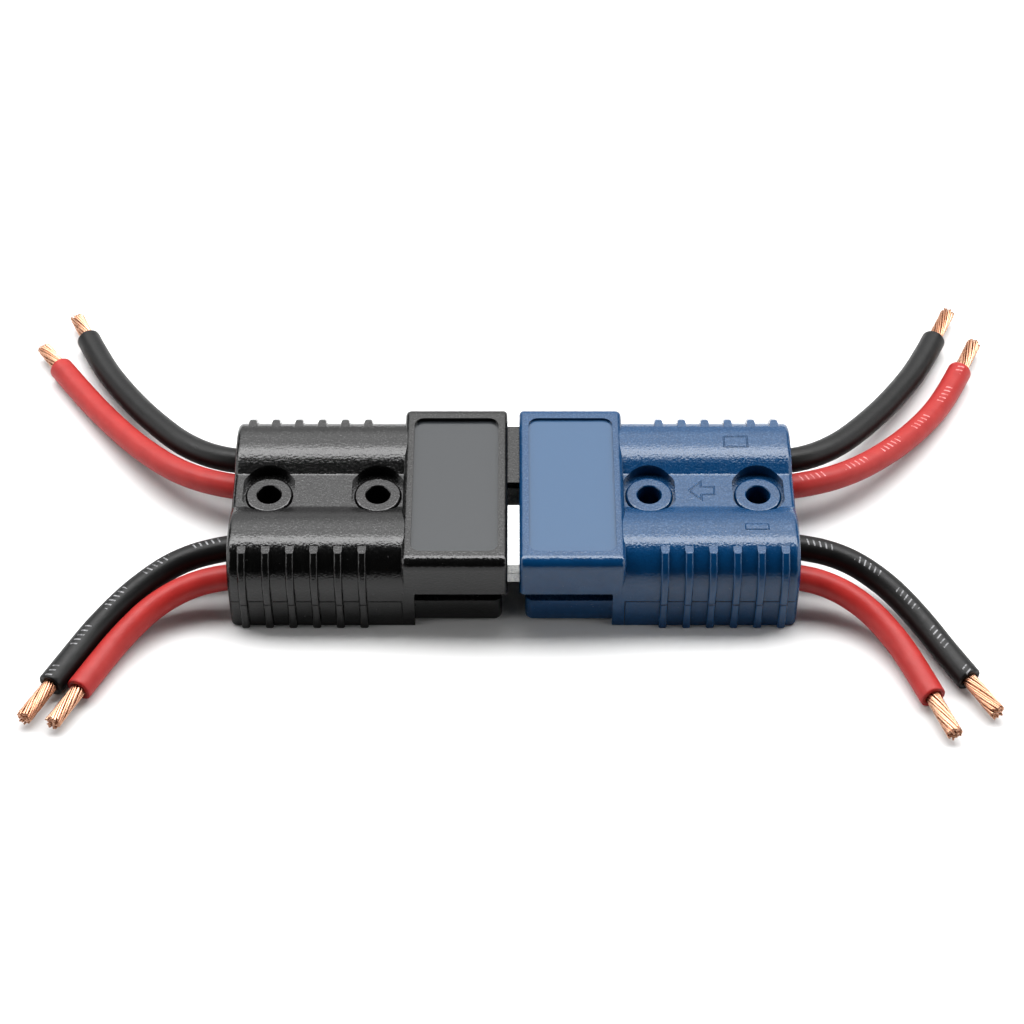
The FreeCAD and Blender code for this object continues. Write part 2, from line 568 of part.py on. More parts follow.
def lead(name, pole, wire, bare, points):
    """Insulated lead, its bare end and the conductor inside the crimp."""
    colour = name.split("_")[0]
    out = -1 if colour == "black" else 1
    y = pole * size["pole_y"] + wire * size["wire_pitch"] / 2
    mouth = out * (size["mating_gap"] / 2 + size["crimp_mouth"])
    start = Vector(mouth, y, size["pole_z"])
    path, radii = route([tuple(start)] + points)
    spine = doc.addObject("Part::Feature", name.title().replace("_", "") + "Path")
    spine.Shape = path
    ring = doc.addObject("Part::Circle", name.title().replace("_", "") + "Ring")
    bind(ring, Radius="wire_diameter / 2")
    first = Vector(*points[0]) - start
    ring.Placement = Placement(start, Rotation(Vector(0, 0, 1), first))
    tube = doc.addObject("Part::Sweep", name.title().replace("_", "") + "Wire")
    tube.Sections = [ring]
    tube.Spine = (spine, ["Edge%d" % (n + 1) for n in range(len(path.Edges))])
    tube.Solid = True
    tube.Frenet = False
    tube.Label = name + "_wire"

    along = Vector(*points[-1]) - Vector(*points[-2])
    end = doc.addObject("Part::Cylinder", name.title().replace("_", "") + "Strands")
    end.Label = name + "_strands"
    end.Placement = Placement(Vector(*points[-1]), Rotation(Vector(0, 0, 1), along))
    bind(end, Radius="strand_diameter / 2", Height=bare)

    core = doc.addObject("Part::Cylinder", name.title().replace("_", "") + "Core")
    core.Label = name + "_core"
    core.Placement = Placement(start, Rotation(Vector(0, 0, 1), Vector(-out, 0, 0)))
    bind(core, Radius="strand_diameter / 2", Height="crimp_mouth - crimp_front - 1",
         Placement__Base__x="%d * (mating_gap / 2 + crimp_mouth)" % out,
         Placement__Base__y="%d * pole_y + %d * wire_pitch / 2" % (pole, wire),
         Placement__Base__z="pole_z")
    doc.recompute()
    section = math.pi * size["wire_diameter"] ** 2 / 4
    print("%-18s length %6.1f  volume/(section*length) %.4f  radii %s" % (
        name, path.Length, tube.Shape.Volume / (section * path.Length),
        " ".join("%.0f" % r for r in radii)))
    return [tube, end, core]


# The two halves

pieces = []
black = [housing("black_housing", "BlackHousing", "panel_depth_black", True),
         contact("black_contact_far", "BlackContactFar", True),
         contact("black_contact_near", "BlackContactNear", False),
         spring("black_spring_far", "BlackSpringFar", ""),
         spring("black_spring_near", "BlackSpringNear", "-")]
blue = [housing("blue_housing", "BlueHousing", "panel_depth_blue", False),
        contact("blue_contact_near", "BlueContactNear", True),
        contact("blue_contact_far", "BlueContactFar", False),
        spring("blue_spring_near", "BlueSpringNear", ""),
        spring("blue_spring_far", "BlueSpringFar", "-")]
for body in black:
    place(body, x="-mating_gap / 2")
for body in blue:
    body.Placement = Placement(Vector(), Rotation(Vector(0, 0, 1), 180))
    place(body, x="mating_gap / 2")
pieces += black + blue
for name, (colour, pole, wire, bare, points) in LEADS.items():
    pieces += lead(name, pole, wire, bare, points)
doc.recompute()

# Every feature must be sound before anything is written
failed = [o.Name for o in doc.Objects if "Invalid" in o.State or "Error" in o.State]
if failed:
    raise SystemExit("failed features: " + ", ".join(failed))
for piece in pieces:
    if piece.Shape.isNull() or not piece.Shape.isValid() or not piece.Shape.Solids:
        raise SystemExit("bad shape: " + piece.Label)
    piece.Shape.exportStep(os.path.join("parts", piece.Label + ".step"))
print("wrote %d pieces" % len(pieces))
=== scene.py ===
import logging
import math
from dataclasses import dataclass
from enum import Enum

import bpy
import numpy as np
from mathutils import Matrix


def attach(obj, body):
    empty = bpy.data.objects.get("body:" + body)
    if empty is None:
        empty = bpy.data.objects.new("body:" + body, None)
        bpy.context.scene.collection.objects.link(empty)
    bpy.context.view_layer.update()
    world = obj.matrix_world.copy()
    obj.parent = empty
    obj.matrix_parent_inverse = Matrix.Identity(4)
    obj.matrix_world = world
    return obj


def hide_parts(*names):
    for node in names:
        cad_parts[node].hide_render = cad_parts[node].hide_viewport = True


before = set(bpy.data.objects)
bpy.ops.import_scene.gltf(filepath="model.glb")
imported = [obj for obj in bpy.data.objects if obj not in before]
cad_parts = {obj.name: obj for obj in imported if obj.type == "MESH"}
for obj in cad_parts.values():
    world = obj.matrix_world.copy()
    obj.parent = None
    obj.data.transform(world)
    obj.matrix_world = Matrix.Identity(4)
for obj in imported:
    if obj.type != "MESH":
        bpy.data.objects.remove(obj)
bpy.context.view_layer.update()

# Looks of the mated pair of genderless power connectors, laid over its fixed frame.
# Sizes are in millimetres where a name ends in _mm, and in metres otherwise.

MM = 0.001
LOG = logging.getLogger("connector")
SENSOR_MM = 36.0
PHOTO_PX = 1024
SKIN_MAP = "skin"
TONE_MAP = "tone"
# Range of a noise's factor that is spread over the whole of a look
NOISE_RANGE = (0.3, 0.7)

Socket = bpy.types.NodeSocket
Pair = tuple[float, float]
Triple = tuple[float, float, float]


class Colour(Enum):
    """The two half shells, by the colour of their moulding."""

    BLACK = "black"
    BLUE = "blue"

    @property
    def body(self) -> str:
        """Name of the rigid body that this half's pieces ride on."""
        return f"{self.value}_half"

    @property
    def outward(self) -> int:
        """Sign of X from the mating faces towards this half's cable end."""
        return -1 if self is Colour.BLACK else 1


class Skin(Enum):
    """Insulation colours."""

    BLACK = "black_insulation"
    RED = "red_insulation"


# Building materials out of nodes

def map_range(tree: bpy.types.NodeTree, value: Socket, source: Pair, result: Pair) -> Socket:
    """Map a range of a value evenly onto another range, clamped at both ends.

    Args:
        tree: Node tree that the node goes into.
        value: Socket to map.
        source: Low and high end of the value's range.
        result: What the low end and the high end become.

    Returns:
        The mapped value.
    """
    node = tree.nodes.new("ShaderNodeMapRange")
    for name, number in zip(("From Min", "From Max", "To Min", "To Max"), (*source, *result)):
        node.inputs[name].default_value = number
    tree.links.new(value, node.inputs["Value"])
    return node.outputs["Result"]


class Recipe:
    """A node material under construction, with a Principled shader at its end."""

    def __init__(self, name: str) -> None:
        """Start an empty material.

        Args:
            name: Name of the material.
        """
        self.material = bpy.data.materials.new(name)
        self.material.use_nodes = True
        self.nodes = self.material.node_tree.nodes
        self.links = self.material.node_tree.links
        self.nodes.clear()
        self.output = self.nodes.new("ShaderNodeOutputMaterial")
        self.shader = self.nodes.new("ShaderNodeBsdfPrincipled")
        self.links.new(self.shader.outputs["BSDF"], self.output.inputs["Surface"])

    def join(self, source: Socket, name: str) -> None:
        """Link a socket to the shader's input of that name."""
        self.links.new(source, self.shader.inputs[name])

    def set(self, **values: float | tuple[float, ...]) -> None:
        """Set constants on the shader; underscores in a name stand for spaces."""
        for name, value in values.items():
            self.shader.inputs[name.replace("_", " ")].default_value = value

    def place(self) -> Socket:
        """Object coordinates of the shaded point."""
        return self.nodes.new("ShaderNodeTexCoord").outputs["Object"]

    def split(self, vector: Socket) -> tuple[Socket, ...]:
        """Take a vector apart.

        Args:
            vector: Vector socket.

        Returns:
            Its X, Y and Z.
        """
        node = self.nodes.new("ShaderNodeSeparateXYZ")
        self.links.new(vector, node.inputs[0])
        return tuple(node.outputs)

    def axes(self) -> tuple[Socket, ...]:
        """X, Y and Z of the shaded point in the frame."""
        return self.split(self.place())

    def noise(self, size: float, detail: float = 2.0, roughness: float = 0.5) -> Socket:
        """Noise whose features are about one size across, read on Object coordinates.

        Args:
            size: Feature size in metres.
            detail: Octaves of the noise.
            roughness: Weight of the finer octaves.

        Returns:
            The noise's factor, about 0.5 on average.
        """
        node = self.nodes.new("ShaderNodeTexNoise")
        for name, number in (("Scale", 1.0 / size), ("Detail", detail), ("Roughness", roughness)):
            node.inputs[name].default_value = number
        self.links.new(self.place(), node.inputs["Vector"])
        return node.outputs["Fac"]

    def math(self, kind: str, first: Socket | float, second: Socket | float = 0.0) -> Socket:
        """One Math node.

        Args:
            kind: Its operation, such as "MULTIPLY".
            first: Its first operand, a socket or a number.
            second: Its second operand, where the operation has one.

        Returns:
            The node's result.
        """
        node = self.nodes.new("ShaderNodeMath")
        node.operation = kind
        for socket, value in zip(node.inputs, (first, second)):
            if isinstance(value, (int, float)):
                socket.default_value = value
            else:
                self.links.new(value, socket)
        return node.outputs[0]

    def times(self, first: Socket | float, second: Socket | float) -> Socket:
        """Product of two sockets or numbers."""
        return self.math("MULTIPLY", first, second)

    def less(self, first: Socket | float, second: Socket | float) -> Socket:
        """First socket or number less the second."""
        return self.math("SUBTRACT", first, second)

    def between(self, value: Socket, low: float, high: float) -> Socket:
        """1 where a value lies between two bounds, else 0."""
        return self.times(self.math("GREATER_THAN", value, low),
                          self.math("LESS_THAN", value, high))

    def span(self, value: Socket, source: Pair, result: Pair = (0.0, 1.0)) -> Socket:
        """Map a range of a value evenly onto another range, clamped at both ends."""
        return map_range(self.material.node_tree, value, source, result)

    def upward(self, facing: Pair) -> Socket:
        """How far the surface faces up.

        Args:
            facing: Z of the surface's normal that reads 0, and the one that reads 1.

        Returns:
            The normal's Z spread evenly over that range.
        """
        geometry = self.nodes.new("ShaderNodeNewGeometry")
        return self.span(self.split(geometry.outputs["Normal"])[2], facing)

    def blend(self, factor: Socket, first: Triple | Socket, second: Triple | Socket) -> Socket:
        """Mix two colours.

        Args:
            factor: Share of the second colour.
            first: First colour, a constant or a socket.
            second: Second colour, a constant or a socket.

        Returns:
            The mixed colour.
        """
        node = self.nodes.new("ShaderNodeMix")
        node.data_type = "RGBA"
        self.links.new(factor, node.inputs["Factor"])
        for name, colour in (("A", first), ("B", second)):
            socket = next(s for s in node.inputs if s.name == name and s.type == "RGBA")
            if isinstance(colour, tuple):
                socket.default_value = (*colour, 1.0)
            else:
                self.links.new(colour, socket)
        return next(s for s in node.outputs if s.type == "RGBA")

    def bump(self, height: Socket, depth: float, under: Socket | None = None) -> Socket:
        """Bump by a height socket, over another bump if one is given.

        Args:
            height: Height from 0 to 1.
            depth: Height of 1, in metres.
            under: Normal of a bump to add to.

        Returns:
            The normal output.
        """
        node = self.nodes.new("ShaderNodeBump")
        node.inputs["Distance"].default_value = depth
        node.inputs["Strength"].default_value = 1.0
        self.links.new(height, node.inputs["Height"])
        if under is not None:
            self.links.new(under, node.inputs["Normal"])
        return node.outputs["Normal"]


# Finishes

class MarkShape(Enum):
    """Plain moulded-in marks."""

    ARROW = "arrow"
    FRAME = "frame"
    BAR = "bar"


@dataclass(frozen=True)
class Mark:
    """A plain mark on the top of a moulding, by its middle and its half sizes along X and Y.

    An arrow points towards lower X. Its shaft's half width and its shaft's start behind the tip
    are shares of the half size along Y. The head's cosine makes a distance along Y one that is
    square to its slanting edges.
    """

    shape: MarkShape
    middle_mm: Pair
    half_mm: Pair
    line_mm: float = 0.11
    shaft_width: float = 0.42
    shaft_start: float = 0.8
    head_cosine: float = 0.7071

    def arrow(self, recipe: Recipe, u: Socket, v: Socket) -> Socket:
        """Inside distance of an arrow: the larger of its head's and its shaft's.

        The head's half width grows with the distance from the tip, up to the head's length.

        Args:
            recipe: Material that the nodes go into.
            u: Signed distance from the middle along X, in millimetres.
            v: Distance from the middle along Y, in millimetres.

        Returns:
            Distance in millimetres, above 0 inside.
        """
        wide, tall = self.half_mm
        from_tip = recipe.math("ADD", u, wide)
        head = recipe.math("MINIMUM", recipe.times(recipe.less(from_tip, v), self.head_cosine),
                           recipe.less(tall, from_tip))
        ends = recipe.math("MINIMUM", recipe.less(wide, u),
                           recipe.less(from_tip, tall * self.shaft_start))
        shaft = recipe.math("MINIMUM", recipe.less(tall * self.shaft_width, v), ends)
        return recipe.math("MAXIMUM", head, shaft)

    def depth(self, recipe: Recipe, x: Socket, y: Socket) -> Socket:
        """Height field of the mark.

        The inside distance of a box is the smaller of its two half sizes less the distances from
        its middle. A line follows where the inside distance is near nought; a bar is raised
        wherever it is above nought.

        Args:
            recipe: Material that the nodes go into.
            x: Object X in metres.
            y: Object Y in metres.

        Returns:
            Height from 0 to 1.
        """
        u = recipe.less(recipe.times(x, 1.0 / MM), self.middle_mm[0])
        v = recipe.math("ABSOLUTE", recipe.less(recipe.times(y, 1.0 / MM), self.middle_mm[1]))
        if self.shape is MarkShape.ARROW:
            inside = self.arrow(recipe, u, v)
        else:
            wide, tall = self.half_mm
            inside = recipe.math("MINIMUM", recipe.less(wide, recipe.math("ABSOLUTE", u)),
                                 recipe.less(tall, v))
        if self.shape is MarkShape.BAR:
            return recipe.span(inside, (-self.line_mm, self.line_mm))
        return recipe.span(recipe.math("ABSOLUTE", inside),
                           (self.line_mm * 0.5, self.line_mm * 1.5), (1.0, 0.0))


@dataclass(frozen=True)
class MouldedPlastic:
    """Injection-moulded housing plastic: eroded grain, smooth panel, hairline parting seam.

    The panel's floor lies in a range of distances from the mating faces, within a distance from
    the middle, and at its height with a little play below and above it. Its lighter colour is a
    painted sheen of the smooth floor, and the lighter speckles on up-facing grain are a painted
    glint. A range named for a noise is the part of its factor that is spread over the look.
    """

    name: str
    deep: Triple
    pale: Triple
    # Colour of the painted glint: lighter speckles on the grain where it faces up
    speckle: Triple
    # Colour of the panel's floor, lighter than the grain: a painted sheen
    panel: Triple
    panel_floor: float
    panel_along: Pair = (0.0025, 0.0175)
    panel_across: float = 0.0156
    panel_play: Pair = (0.0002, 0.00012)
    marks: tuple[Mark, ...] = ()
    mark_depth: float = 0.00017
    roughness: float = 0.17
    panel_roughness: float = 0.22
    unevenness: float = 0.06
    mottle: float = 0.004
    grain: float = 0.00042
    grain_depth: float = 0.000055
    panel_grain: float = 0.02
    # Feature size, spread and facing of the painted glint's speckles
    painted_glint: float = 0.00028
    painted_glint_range: Pair = (0.45, 0.70)
    painted_glint_facing: Pair = (0.84, 0.98)
    dust: float = 0.00045
    dust_range: Pair = (0.75, 0.80)
    dust_cover: float = 0.04
    dust_colour: Triple = (0.8, 0.8, 0.8)
    seam: float = 0.0062
    seam_width: float = 0.00022
    seam_depth: float = 0.00010
    seam_start: float = 0.0188
    seam_side: float = 0.0175
    seam_cover: float = 0.8
    seam_colour: Triple = (0.001, 0.001, 0.001)

    def seam_line(self, recipe: Recipe, value: Socket, middle: float) -> Socket:
        """1 where a value meets the middle, falling evenly to 0 half a seam's width away."""
        away = recipe.math("ABSOLUTE", recipe.less(value, middle))
        return recipe.span(away, (0.0, self.seam_width / 2), (1.0, 0.0))

    def seams(self, recipe: Recipe, along: Socket, across: Socket, z: Socket) -> Socket:
        """Parting seam: level along the sides, and down at the back of the hood.

        The level stretch runs at the seam's height from its start to the cable end. The other
        one goes down from its start, on the outer sides alone.

        Args:
            recipe: Material that the nodes go into.
            along: Distance from the mating faces.
            across: Distance from the middle.
            z: Height.

        Returns:
            1 on the seam, 0 away from it.
        """
        level = recipe.times(self.seam_line(recipe, z, self.seam),
                             recipe.math("GREATER_THAN", along, self.seam_start))
        down = recipe.times(self.seam_line(recipe, along, self.seam_start),
                            recipe.math("LESS_THAN", z, self.seam))
        down = recipe.times(down, recipe.math("GREATER_THAN", across, self.seam_side))
        return recipe.math("MAXIMUM", level, down)

    def on_panel(self, recipe: Recipe, along: Socket, across: Socket, z: Socket) -> Socket:
        """Where the recessed panel's floor is.

        Args:
            recipe: Material that the nodes go into.
            along: Distance from the mating faces.
            across: Distance from the middle.
            z: Height.

        Returns:
            1 on the floor, else 0.
        """
        below, above = self.panel_play
        inside = recipe.times(recipe.between(along, *self.panel_along),
                              recipe.math("LESS_THAN", across, self.panel_across))
        return recipe.times(inside, recipe.between(z, self.panel_floor - below,
                                                   self.panel_floor + above))

    def colour(self, recipe: Recipe, panel: Socket, grained: Socket, seam: Socket) -> Socket:
        """Colour of the moulding.

        A coarse noise mixes the deep and the pale colour. Over them lie lighter speckles, a
        painted glint, where a fine noise is high and the surface faces up, then sparse dust, the
        panel's lighter colour, which is a painted sheen of its smooth floor, and the dark seam.

        Args:
            recipe: Material that the nodes go into.
            panel: 1 on the panel's floor.
            grained: 1 everywhere else.
            seam: 1 on the seam.

        Returns:
            The colour.
        """
        tint = recipe.times(grained, recipe.span(
            recipe.noise(self.mottle, detail=4.0, roughness=0.65), NOISE_RANGE))
        # Painted glint: lighter speckles on up-facing grain, standing in for sparkle in the
        # highlights
        painted_glint = recipe.times(recipe.upward(self.painted_glint_facing), recipe.span(
            recipe.noise(self.painted_glint, detail=1.0), self.painted_glint_range))
        dust = recipe.times(grained, recipe.span(
            recipe.noise(self.dust, detail=1.0), self.dust_range, (0.0, self.dust_cover)))
        colour = recipe.blend(tint, self.deep, self.pale)
        colour = recipe.blend(recipe.times(grained, painted_glint), colour, self.speckle)
        colour = recipe.blend(dust, colour, self.dust_colour)
        # The panel's lighter colour is a painted sheen of its smooth floor
        colour = recipe.blend(panel, colour, self.panel)
        return recipe.blend(recipe.times(seam, self.seam_cover), colour, self.seam_colour)

    def gloss(self, recipe: Recipe, panel: Socket, grained: Socket) -> Socket:
        """Roughness: one level on the panel and another, made uneven by the grain, elsewhere.

        Args:
            recipe: Material that the nodes go into.
            panel: 1 on the panel's floor.
            grained: 1 everywhere else.

        Returns:
            The roughness.
        """
        uneven = recipe.times(grained, recipe.span(
            recipe.noise(self.grain), NOISE_RANGE, (-self.unevenness, self.unevenness)))
        level = recipe.math("ADD", recipe.times(panel, self.panel_roughness - self.roughness),
                            self.roughness)
        return recipe.math("ADD", level, uneven)

    def relief(self, recipe: Recipe, x: Socket, y: Socket, grained: Socket,
               seam: Socket) -> Socket:
        """Bumps: the grain, faint on the panel, then the sunk seam, then the raised marks.

        Args:
            recipe: Material that the nodes go into.
            x: Object X in metres.
            y: Object Y in metres.
            grained: 1 everywhere but on the panel's floor.
            seam: 1 on the seam.

        Returns:
            The normal.
        """
        fine = recipe.noise(self.grain, detail=1.5, roughness=0.6)
        height = recipe.times(fine, recipe.math(
            "ADD", recipe.times(grained, 1.0 - self.panel_grain), self.panel_grain))
        normal = recipe.bump(height, self.grain_depth)
        normal = recipe.bump(recipe.less(1.0, seam), self.seam_depth, under=normal)
        for mark in self.marks:
            normal = recipe.bump(mark.depth(recipe, x, y), self.mark_depth, under=normal)
        return normal

    def material(self) -> bpy.types.Material:
        """Build the material.

        Returns:
            A material whose grain covers everything but the recessed panel's floor.
        """
        recipe = Recipe(self.name)
        x, y, z = recipe.axes()
        along, across = recipe.math("ABSOLUTE", x), recipe.math("ABSOLUTE", y)
        panel = self.on_panel(recipe, along, across, z)
        grained = recipe.less(1.0, panel)
        seam = self.seams(recipe, along, across, z)
        recipe.join(self.colour(recipe, panel, grained, seam), "Base Color")
        recipe.join(self.gloss(recipe, panel, grained), "Roughness")
        recipe.join(self.relief(recipe, x, y, grained, seam), "Normal")
        recipe.set(IOR=1.5)
        return recipe.material


@dataclass(frozen=True)
class SiliconeSkin:
    """Soft silicone insulation, its strokes read along and round the lead from its UV map."""

    name: str
    base: Triple
    pale: Triple
    printed: bool = False
    ink: Triple = (0.30, 0.30, 0.31)
    roughness: float = 0.42
    unevenness: float = 0.05
    cloud: float = 0.003
    haze: float = 0.0009
    pore: float = 0.00035
    pore_depth: float = 0.00002
    dash: float = 0.00028
    dash_pitch: float = 0.00105
    group_pitch: float = 0.0092
    group_share: float = 0.56
    slant: float = 0.35
    row: Pair = (0.00255, 0.00370)
    wear: float = 0.0005
    wear_range: Pair = (0.35, 0.6)
    wear_cover: Pair = (0.25, 0.9)

    @staticmethod
    def first_part(recipe: Recipe, value: Socket, pitch: float, share: float) -> Socket:
        """1 in the first share of each pitch: where the fraction of value over pitch is lower."""
        turn = recipe.math("FRACT", recipe.math("DIVIDE", value, pitch))
        return recipe.math("LESS_THAN", turn, share)

    def dashes(self, recipe: Recipe) -> Socket:
        """Faint row of plain slanting strokes in groups, where the print of such leads runs.

        A stroke covers the first part of each pitch along the lead, read a little further along
        the further round it lies. A group covers the first part of each longer pitch, and the
        row a narrow band round the lead.

        Args:
            recipe: Material that the nodes go into.

        Returns:
            Cover of the ink, 0 beside the strokes.
        """
        uv = recipe.nodes.new("ShaderNodeUVMap")
        uv.uv_map = SKIN_MAP
        run, turn, _ = recipe.split(uv.outputs["UV"])
        leaning = recipe.math("ADD", run, recipe.times(turn, self.slant))
        dash = self.first_part(recipe, leaning, self.dash_pitch, self.dash / self.dash_pitch)
        group = self.first_part(recipe, run, self.group_pitch, self.group_share)
        worn = recipe.span(recipe.noise(self.wear), self.wear_range, self.wear_cover)
        return recipe.times(recipe.times(dash, group),
                            recipe.times(recipe.between(turn, *self.row), worn))

    def material(self) -> bpy.types.Material:
        """Build the material.

        Returns:
            A material with soft mottling and, where printed, a row of plain strokes.
        """
        recipe = Recipe(self.name)
        cloud = recipe.noise(self.cloud, detail=3.0)
        colour = recipe.blend(recipe.span(cloud, NOISE_RANGE), self.base, self.pale)
        if self.printed:
            colour = recipe.blend(self.dashes(recipe), colour, self.ink)
        recipe.join(colour, "Base Color")
        recipe.join(recipe.span(
            recipe.noise(self.haze, detail=3.0), NOISE_RANGE,
            (self.roughness - self.unevenness, self.roughness + self.unevenness)), "Roughness")
        recipe.join(recipe.bump(recipe.noise(self.pore, detail=3.0), self.pore_depth), "Normal")
        recipe.set(IOR=1.36)
        return recipe.material


@dataclass(frozen=True)
class StrandedCopper:
    """Bright bare copper, each strand a little different by its own attribute."""

    name: str = "bare copper strands"
    bright: Triple = (0.60, 0.36, 0.25)
    dull: Triple = (0.36, 0.17, 0.10)
    roughness: float = 0.28
    smoother: float = 0.08
    rougher: float = 0.1
    haze: float = 0.0008
    scratch: float = 0.0002
    scratch_depth: float = 0.00001

    def material(self) -> bpy.types.Material:
        """Build the material.

        Returns:
            A metal whose colour goes from dull to bright with the strand's tone.
        """
        recipe = Recipe(self.name)
        tone = recipe.nodes.new("ShaderNodeAttribute")
        tone.attribute_name = TONE_MAP
        recipe.join(recipe.blend(tone.outputs["Fac"], self.dull, self.bright), "Base Color")
        recipe.join(recipe.span(
            recipe.noise(self.haze), NOISE_RANGE,
            (self.roughness - self.smoother, self.roughness + self.rougher)), "Roughness")
        recipe.join(recipe.bump(recipe.noise(self.scratch), self.scratch_depth), "Normal")
        recipe.set(Metallic=1.0)
        return recipe.material


@dataclass(frozen=True)
class PlatedMetal:
    """Silver-plated or spring-steel surface with fine speckle."""

    name: str
    bright: Triple
    dark: Triple
    roughness: float = 0.34
    unevenness: float = 0.1
    speckle: float = 0.0005
    speckle_range: Pair = (0.35, 0.65)
    speckle_depth: float = 0.00004

    def material(self) -> bpy.types.Material:
        """Build the material.

        Returns:
            A metal that is brighter and smoother where its speckle is high.
        """
        recipe = Recipe(self.name)
        grain = recipe.noise(self.speckle, detail=4.0, roughness=0.7)
        recipe.join(recipe.blend(recipe.span(grain, self.speckle_range), self.dark,
                                 self.bright), "Base Color")
        recipe.join(recipe.span(
            grain, NOISE_RANGE,
            (self.roughness + self.unevenness, self.roughness - self.unevenness)), "Roughness")
        recipe.join(recipe.bump(grain, self.speckle_depth), "Normal")
        recipe.set(Metallic=1.0)
        return recipe.material


@dataclass(frozen=True)
class PaperFloor:
    """Plain pale floor."""

    name: str = "pale floor"
    colour: Triple = (0.72, 0.72, 0.72)

    def material(self) -> bpy.types.Material:
        """Build the material.

        Returns:
            A plain dull material.
        """
        recipe = Recipe(self.name)
        recipe.set(Base_Color=(*self.colour, 1.0), Roughness=0.85, IOR=1.3)
        return recipe.material


# Mesh building

def add_mesh(name: str, points: np.ndarray, faces: np.ndarray,
             smooth: bool = True) -> bpy.types.Object:
    """Make an object at the origin from arrays.

    Args:
        name: Name of the object.
        points: Corner positions, one row each.
        faces: Corner numbers, one row of four for each face.
        smooth: Whether to shade it smooth.

    Returns:
        The new object.
    """
    mesh = bpy.data.meshes.new(name)
    mesh.from_pydata(points.reshape(-1, 3).tolist(), [], faces.tolist())
    mesh.polygons.foreach_set("use_smooth", np.full(len(faces), smooth))
    mesh.update()
    piece = bpy.data.objects.new(name, mesh)
    bpy.context.scene.collection.objects.link(piece)
    return piece


def grid_faces(rows: int, columns: int) -> np.ndarray:
    """Quads between neighbouring rows of a grid of points whose last column joins its first.

    Args:
        rows: Number of rows, along the piece.
        columns: Number of columns, round it.

    Returns:
        One row of four corner numbers for each quad.
    """
    r, c = np.meshgrid(np.arange(rows - 1), np.arange(columns), indexing="ij")
    right = (c + 1) % columns
    return np.stack([r * columns + c, r * columns + right,
                     (r + 1) * columns + right, (r + 1) * columns + c], axis=-1).reshape(-1, 4)


def unit(vectors: np.ndarray) -> np.ndarray:
    """Vectors divided by their own lengths."""
    return vectors / np.linalg.norm(vectors, axis=-1, keepdims=True)


def frames_along(path: np.ndarray) -> tuple[np.ndarray, np.ndarray, np.ndarray]:
    """Directions at each point of a path that is never upright.

    The tangent is the central difference, the side is the tangent crossed with Z, and the lift
    is the side crossed with the tangent.

    Args:
        path: Points in order, one row each.

    Returns:
        Tangent, side and lift, one row each for every point.
    """
    tangent = unit(np.gradient(path, axis=0))
    side = unit(np.cross(tangent, [0.0, 0.0, 1.0]))
    return tangent, side, np.cross(side, tangent)


def line_of(curve: bpy.types.Object) -> np.ndarray:
    """Read a curve's own line, as Blender evaluates it.

    Args:
        curve: Curve object without a bevel.

    Returns:
        The line's points in order, one row each.
    """
    mesh = bpy.data.meshes.new_from_object(curve)
    points = np.empty(len(mesh.vertices) * 3)
    mesh.vertices.foreach_get("co", points)
    bpy.data.meshes.remove(mesh)
    return points.reshape(-1, 3)


def length_of(path: np.ndarray) -> float:
    """Sum of the distances between a path's neighbouring points."""
    return float(np.linalg.norm(np.diff(path, axis=0), axis=1).sum())


def read_along(stations: np.ndarray, reach: np.ndarray, rows: np.ndarray) -> np.ndarray:
    """Rows of three numbers at new lengths, in straight lines between the known ones.

    Args:
        stations: Lengths to read at.
        reach: Length that each known row belongs to.
        rows: The known rows.

    Returns:
        One row for each station.
    """
    return np.stack([np.interp(stations, reach, column) for column in rows.T], axis=1)


def resample(path: np.ndarray, stations: np.ndarray) -> np.ndarray:
    """Points of a path at given lengths along it, past its end in a straight line.

    Args:
        path: Points in order, one row each.
        stations: Lengths from its start.

    Returns:
        One point for each station.
    """
    steps = np.linalg.norm(np.diff(path, axis=0), axis=1)
    reach = np.concatenate([[0.0], np.cumsum(steps)])
    heading = (path[-1] - path[-2]) / steps[-1]
    beyond = np.maximum(stations - reach[-1], 0.0)
    return read_along(stations, reach, path) + beyond[:, None] * heading


# Leads

